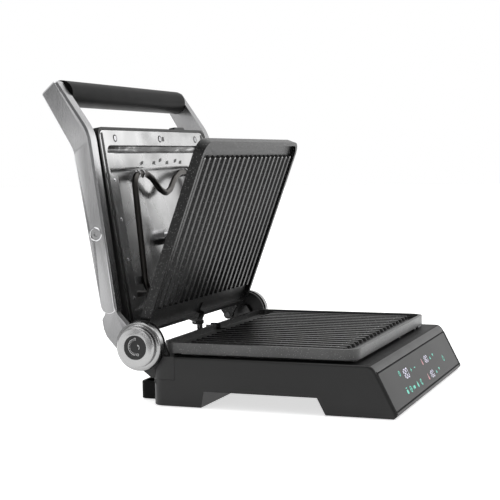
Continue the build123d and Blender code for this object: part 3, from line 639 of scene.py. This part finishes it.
def build_reflector_fold():
    """The folded upper part of the reflector: a concave groove, then a flat shelf with punched tabs."""
    bm = bmesh.new()
    front = reflector_face
    profile = [(217.2, front), (216.6, front)]
    profile += [(212.2 + 4.4 * cos(a), front + 4.2 * sin(a)) for a in (pi * i / 12 for i in range(13))]
    profile += [(207.0, front), (191.6, front + 0.4), (190.4, front + 1.6), (189.8, 28.0)]
    thickness, half = 0.5, 128.8
    grid = [
        [bm.verts.new(hinge + side_x * x * MM + head_up * s * MM + head_back * d * MM) for s, d in profile]
        for x in (-half, half)
    ]
    for i in range(len(profile) - 1):
        bm.faces.new((grid[0][i], grid[1][i], grid[1][i + 1], grid[0][i + 1]))
    bmesh.ops.solidify(bm, geom=bm.faces[:], thickness=thickness * MM)
    fold = piece_from("reflector_fold", bm, "head", "reflector_steel", smooth=40)
    fold.data.materials.append(painted_groove_shade_steel)
    # the groove's faces take the painted shade and reflections
    for polygon in fold.data.polygons:
        rise = (polygon.center - hinge).dot(head_up)
        if 207.4 * MM < rise < 216.6 * MM:
            polygon.material_index = 1
    tabs, holes = bmesh.new(), bmesh.new()
    plane = head_plane((front + 0.05) * MM)
    punched = ((-48, 196, 1), (-16, 196, -1), (2, 199, 1), (20, 196, -1), (44, 198, 1), (58, 196, -1))
    for x, s, turn in punched:
        hole = [(x - 4, s - 2.0), (x + 3, s - 1.2), (x + 4.4, s + 2.4), (x - 1.4, s + 1.6)]
        shape(holes, plane, hole, 0.12)
        lean_tab = plane @ Matrix.Translation((x * MM, (s - 2) * MM, 0))
        lean_tab = lean_tab @ Matrix.Rotation(radians(-62), 4, "X")
        lean_tab = lean_tab @ Matrix.Rotation(radians(16 * turn), 4, "Z")
        flap = [(-2.6 * MM, 0), (2.6 * MM, 0), (2.0 * MM, 1.2 * MM), (-2.0 * MM, 1.2 * MM)]
        slab(tabs, flap, 0.5 * MM, lean_tab)
    piece_from("punched_holes", holes, "head", "axle_black")
    piece_from("punched_tabs", tabs, "head", "reflector_steel")


def tube(bm, points, radius, steps=14):
    """A round tube along points, with closed ends."""
    rings = []
    normal = None
    for index, point in enumerate(points):
        ahead = points[min(index + 1, len(points) - 1)] - points[max(index - 1, 0)]
        ahead.normalize()
        if normal is None:
            normal = ahead.orthogonal().normalized()
        normal = (normal - ahead * normal.dot(ahead)).normalized()
        other = ahead.cross(normal)
        rings.append([
            bm.verts.new(point + (normal * cos(tau * k / steps) + other * sin(tau * k / steps)) * radius)
            for k in range(steps)
        ])
    for a, b in zip(rings, rings[1:]):
        for k in range(steps):
            bm.faces.new((a[k], a[(k + 1) % steps], b[(k + 1) % steps], b[k]))
    bm.faces.new(rings[0][::-1])
    bm.faces.new(rings[-1])


def head_point(x, s, d):
    return hinge + side_x * x * MM + head_up * s * MM + head_back * d * MM


def build_head_fittings():
    """Clips on the heating tube, its lead wires and a coiled return spring by the lower left corner."""
    clips, wires, coil = bmesh.new(), bmesh.new(), bmesh.new()
    for x in (-60, -48, 72, 84):
        points = [
            head_point(x, element_top_s + 4.3 * cos(a), element_d - 4.1 * sin(a))
            for a in (pi * i / 10 for i in range(11))
        ]
        tube(clips, points, 0.7 * MM, 8)
    for sign in (-1, 1):
        wander = [head_point(17 + sign * (26 - 2 * i), 46 - 1.6 * i, 20 + 0.6 * i) for i in range(7)]
        tube(wires, wander, 1.3 * MM, 8)
    turns = 5
    spiral = [
        head_point(-121 + 3.6 * cos(a), 38 + 3.6 * sin(a), 17.5 + 1.5 * a / tau)
        for a in (tau * turns * i / 100 for i in range(101))
    ]
    tube(coil, spiral, 0.55 * MM, 8)
    piece_from("tube_clips", clips, "head", "bracket_steel")
    piece_from("lead_wires", wires, "head", "sleeve_braid")
    piece_from("tip_spring", coil, "head", "screw_steel")


def build_side_strips():
    """The reflector's raised side strips with their rivets, and the black lips beside them."""
    strips, rivets, lips = bmesh.new(), bmesh.new(), bmesh.new()
    for sign in (-1, 1):
        plane = plane_matrix(head_point(sign * 120, 0, 17.2), side_x, head_up)
        slab(strips, [(x * MM, y * MM) for x, y in rounded((0, 110), 15, 146, 3)], 0.6 * MM, plane)
        for s in (49, 91, 135, 178):
            spot = plane_matrix(head_point(sign * 121, s, reflector_face), side_x, head_up)
            dome = [(0, 0.6 * MM), (1.3 * MM, 0.5 * MM), (2.1 * MM, 0.1 * MM), (2.2 * MM, -0.2 * MM)]
            lathe(rivets, dome, spot, 16)
        lip = plane_matrix(head_point(sign * 134.9, 126, 16.4), side_x, head_up)
        slab(lips, [(x * MM, y * MM) for x, y in rounded((0, 0), 4.2, 208, 1.5)], 0.35 * MM, lip)
    bevelled(piece_from("side_strips", strips, "head", "reflector_steel"), 0.2 * MM)
    piece_from("strip_rivets", rivets, "head", "screw_steel")
    piece_from("side_lips", lips, "head", "head_plastic")


def islands(node):
    """Centres of a CAD node's separate solids."""
    bm = bmesh.new()
    bm.from_mesh(frame["nodes"][node].data)
    bmesh.ops.remove_doubles(bm, verts=bm.verts, dist=1e-5)
    left, centres = set(bm.verts), []
    while left:
        group, queue = set(), [left.pop()]
        while queue:
            vert = queue.pop()
            group.add(vert.index)
            for edge in vert.link_edges:
                other = edge.other_vert(vert)
                if other in left:
                    left.discard(other)
                    queue.append(other)
        bm.verts.ensure_lookup_table()
        points = [bm.verts[i].co for i in group]
        low = Vector([min(p[k] for p in points) for k in range(3)])
        high = Vector([max(p[k] for p in points) for k in range(3)])
        centres.append((low + high) / 2)
    bm.free()
    return sorted(centres, key=lambda c: (round(c.x, 4), round(c.z, 4)))


def build_painted_screw_shadows_and_pivot_rings():
    """Painted shadows round the reflector's screws, a dark slot, and turned rings round the arms' pivot screws."""
    painted_shadows_and_slot, rings = bmesh.new(), bmesh.new()
    # painted shadows: dark rings round each reflector screw; the square below is a dark slot
    for centre in islands("reflector_screws"):
        seat = plane_matrix(centre - head_back * 0.06 * MM, side_x, head_up)
        ring(painted_shadows_and_slot, seat, (0, 0), 3.3, 1.7, depth=0.1)
    slot_plane = plane_matrix(head_point(19, 224, 16.35), side_x, head_up)
    shape(painted_shadows_and_slot, slot_plane, rounded((0, 0), 5.6, 5.4, 0.8), 0.12)
    for centre in islands("pivot_screws"):
        sign = 1 if centre.x > 0 else -1
        face = max(abs(v.co.x) for v in frame["nodes"]["pivot_screws"].data.vertices) + 0.7 * MM
        middle = Vector((sign * face, centre.y, centre.z))
        plane = plane_matrix(middle, Vector((0, sign, 0)), Vector((0, 0, 1)))
        profile = [(6.2, -1.6), (5.9, 0.1), (6.3, 0.55), (7.0, 0.5), (7.5, 0.0), (7.5, -0.2), (6.2, -1.6)]
        lathe(rings, [(r * MM, h * MM) for r, h in profile], plane, 36)
    piece_from("painted_screw_shadows_and_slot", painted_shadows_and_slot, "head", "axle_black")
    piece_from("pivot_rings", rings, "lid_frame", "arm_brushed", polished)


def build_sleeve():
    """The braided sleeve that carries the leads from the post to the head."""
    low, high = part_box("conduit_sleeve")
    points = []
    x = (low[0] + high[0]) / 2
    start_y, end_y = low[1] + 2.8 * MM, high[1] - 2.8 * MM
    for i in range(25):
        t = i / 24
        ease = 1 - (1 - t) ** 2
        points.append(Vector((x, start_y + (end_y - start_y) * ease, low[2] + (high[2] - low[2]) * t)))
    bm = bmesh.new()
    tube(bm, points, 2.3 * MM, 18)
    mesh = bpy.data.meshes.new("sleeve")
    bmesh.ops.recalc_face_normals(bm, faces=bm.faces)
    bm.to_mesh(mesh)
    bm.free()
    piece = bpy.data.objects.new("sleeve", mesh)
    bpy.context.scene.collection.objects.link(piece)
    mesh.materials.append(materials["sleeve_braid"])
    for polygon in mesh.polygons:
        polygon.use_smooth = True
    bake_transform(piece)
    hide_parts("conduit_sleeve")


def build_back():
    """Back of the head, rear of the base and the tray: seams, louvres, screws and a finger rib."""
    shell = frame["nodes"]["upper_housing"].data.vertices
    back = max((Vector(v.co) - hinge).dot(head_back) for v in shell)
    plane = plane_matrix(hinge + head_back * back, -side_x, head_up)
    seams, screws, vents = bmesh.new(), bmesh.new(), bmesh.new()
    border = rounded((0, 152), 250, 140, 12)
    for a, b in zip(border, border[1:] + border[:1]):
        bar(seams, plane, a, b, 1.2, 0.05)
    for index in range(14):
        x = -58.5 + index * 9
        shape(seams, plane, rounded((x, 200), 4.0, 20, 1.9), 0.05)
    for x in (-112, 112):
        for s in (92, 212):
            spot = plane @ Matrix.Translation((x * MM, s * MM, 0))
            head = [(0, 0.3 * MM), (1.0 * MM, 0.3 * MM), (3.2 * MM, 0.45 * MM), (3.6 * MM, 0.0)]
            lathe(screws, head, spot, 24)
    piece_from("head_seams", seams, "head", "under_plastic")
    piece_from("head_back_screws", screws, "head", "screw_steel")
    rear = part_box("base_housing")[1][1]
    wall = plane_matrix(Vector((0, rear, 0)), -side_x, Vector((0, 0, 1)))
    recesses = bmesh.new()
    for group in (-60, 96):
        shape(recesses, wall, rounded((group, 37), 62, 20, 3), 0.1)
        for index in range(5):
            shape(vents, wall, rounded((group, 29.4 + index * 3.8), 58, 1.9, 0.9), 0.7)
    piece_from("vent_recess", recesses, "base", "under_plastic")
    piece_from("vent_louvres", vents, "base", "base_plastic")
    tray_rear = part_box("drip_tray")[1][1]
    pull = bmesh.new()
    tray_wall = plane_matrix(Vector((0, tray_rear, 0)), -side_x, Vector((0, 0, 1)))
    shape(pull, tray_wall, rounded((0, 14), 84, 3.2, 1.5), 1.6)
    piece = piece_from("tray_pull", pull, "drip_tray", "tray_plastic")
    bevelled(piece, 0.5 * MM)


def build_plate_clips():
    """Small steel clips that show under the lower plate's front edge."""
    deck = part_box("base_housing")[1][2]
    bm = bmesh.new()
    plane = plane_matrix(Vector((0, plate_low[1] + 1.5 * MM, deck)), side_x, Vector((0, 1, 0)))
    for x, width in ((126, 11), (104, 3.5), (30, 3.0)):
        slab(bm, [(q * MM, r * MM) for q, r in rounded((x, 1.6), width, 4.4, 1.2)], 1.6 * MM, plane)
    bevelled(piece_from("plate_clips", bm, "base", "bracket_steel"), 0.3 * MM)


def build_rib_tips():
    """Painted highlights: bright metal crescents where the ribs' rounded front ends rise from the plates."""
    rib_count, pitch, tip_start, top_below_rim, rise = 20, 14.19, 193.0, 1.8, 0.08
    top = plate_high[2] - top_below_rim * MM
    flat = plane_matrix(Vector((0, plate_high[1], top)), -side_x, Vector((0, -1, 0)))
    tip_point = head_point(0, tip_axis_s, tip_axis_d)
    seat = plane_matrix(head_point(0, seat_s, seat_d + top_below_rim), side_x, head_up)
    about = Matrix.Translation(tip_point)
    turn = about @ Matrix.Rotation(tip_angle, 4, "X") @ Matrix.Translation(-tip_point)
    rows = (("lower_rib_tips", flat, "base"), ("upper_rib_tips", turn @ seat, "upper_plate"))
    for name, plane, body in rows:
        bm = bmesh.new()
        for index in range(rib_count):
            x = (index - (rib_count - 1) / 2) * pitch
            ring(bm, plane, (x, tip_start), 2.1, 0.6, radians(15), radians(165), 10, depth=rise)
        piece_from(name, bm, body, "plate_coating", painted_highlight_edge)


build_plate_clips()
build_display()
build_panel_edges()
build_dial()
build_reflector_fold()
build_head_fittings()
build_side_strips()
build_rib_tips()
build_painted_screw_shadows_and_pivot_rings()
build_sleeve()
build_back()

# ---- stage, light and camera ---------------------------------------------------------------------------
camera_yaw, camera_pitch, camera_roll = radians(20.977), radians(4.232), radians(-0.924)
camera_from_hinge = Vector((-1.3311, -0.5748, 0.1954))
lens, sensor = 90.0, 36.0
room_grey, floor_glow = 0.22, 0.72
room_end, studio_start = 0.28, 0.60          # where the dim room ends and the white studio starts, 0 to 1
shade_far, shade_near = -2.4, -0.7           # metres from the origin, along the view, of the floor's shade


def aim_camera():
    """Camera at the viewing angle: yaw from +X towards +Y, pitch down, then roll."""
    forward = Vector((
        cos(camera_yaw) * cos(camera_pitch), sin(camera_yaw) * cos(camera_pitch), -sin(camera_pitch)
    ))
    level = Vector((sin(camera_yaw), -cos(camera_yaw), 0))
    upright = level.cross(forward)
    right = level * cos(camera_roll) + upright * sin(camera_roll)
    up = upright * cos(camera_roll) - level * sin(camera_roll)
    camera = bpy.data.objects.new("camera", bpy.data.cameras.new("camera"))
    camera.data.lens = lens
    camera.data.sensor_width = sensor
    camera.data.clip_end = 50
    camera.matrix_world = Matrix((right, up, -forward)).transposed().to_4x4()
    camera.matrix_world.translation = hinge + camera_from_hinge
    bpy.context.scene.collection.objects.link(camera)
    bpy.context.scene.camera = camera


def area_light(name, place, target, size, watts, tint=(1, 1, 1)):
    light = bpy.data.objects.new(name, bpy.data.lights.new(name, "AREA"))
    light.data.shape = "RECTANGLE"
    light.data.size, light.data.size_y = size
    light.data.energy = watts
    light.data.color = tint
    light.location = place
    light.rotation_euler = (Vector(target) - Vector(place)).to_track_quat("-Z", "Y").to_euler()
    bpy.context.scene.collection.objects.link(light)


def build_stage():
    """A pale floor under an open white studio."""
    bm = bmesh.new()
    bmesh.ops.create_grid(bm, x_segments=8, y_segments=8, size=9.0)
    mesh = bpy.data.meshes.new("floor")
    bm.to_mesh(mesh)
    bm.free()
    floor = bpy.data.objects.new("floor", mesh)
    bpy.context.scene.collection.objects.link(floor)
    away = Vector((cos(camera_yaw), sin(camera_yaw), 0))
    tree = Tree("pale_floor").set(roughness=0.8, specular_ior_level=0.2, emission_strength=floor_glow)
    reach = tree.add("ShaderNodeVectorMath", operation="DOT_PRODUCT")
    reach.inputs[1].default_value = away
    tree.link(tree.coords, reach.inputs[0])
    near = tree.add("ShaderNodeMapRange")
    near.inputs["From Min"].default_value, near.inputs["From Max"].default_value = shade_far, shade_near
    tree.link(reach.outputs["Value"], near.inputs["Value"])
    shade = tree.ramp(near.outputs["Result"], (0.0, 0.30), (1.0, 0.92))
    tree.colour(tree.mix(tree.span(tree.noise(3, 2), 0.0, 0.03), shade, (0.35, 0.35, 0.35)))
    tree.link(shade, tree.shader.inputs["Emission Color"])
    mesh.materials.append(tree.material)
    light_studio(away)


def light_studio(away):
    """A white cyclorama ahead of the camera, a dimmer room behind it, and softboxes above."""
    world = bpy.data.worlds.new("studio")
    bpy.context.scene.world = world
    world.use_nodes = True
    nodes, links = world.node_tree.nodes, world.node_tree.links
    coords = nodes.new("ShaderNodeTexCoord")
    ahead = nodes.new("ShaderNodeVectorMath")
    ahead.operation = "DOT_PRODUCT"
    ahead.inputs[1].default_value = away
    ramp = nodes.new("ShaderNodeValToRGB")
    remap = nodes.new("ShaderNodeMapRange")
    remap.inputs["From Min"].default_value = -1
    links.new(coords.outputs["Generated"], ahead.inputs[0])
    links.new(ahead.outputs["Value"], remap.inputs["Value"])
    links.new(remap.outputs["Result"], ramp.inputs["Fac"])
    stops = ((room_end, room_grey), (studio_start, 1.0))
    for element, (position, grey) in zip(ramp.color_ramp.elements, stops):
        element.position = position
        element.color = (grey, grey, grey, 1)
    links.new(ramp.outputs["Color"], nodes["Background"].inputs["Color"])
    nodes["Background"].inputs["Strength"].default_value = 1.0
    bpy.context.scene.view_settings.view_transform = "Standard"
    area_light("key_top", (0.5, 0.3, 3.0), (0, 0, 0), (4.5, 4.5), 62)
    area_light("front_right", (2.0, -1.4, 1.2), (0, -0.1, 0.1), (1.0, 1.6), 9)
    area_light("front_strip", (-1.3, -3.2, 0.9), (0, 0.1, 0.2), (0.6, 2.4), 14)
    area_light("rear_left", (-1.9, 0.9, 0.9), (0, 0.1, 0.15), (0.35, 1.4), 4)


aim_camera()
build_stage()
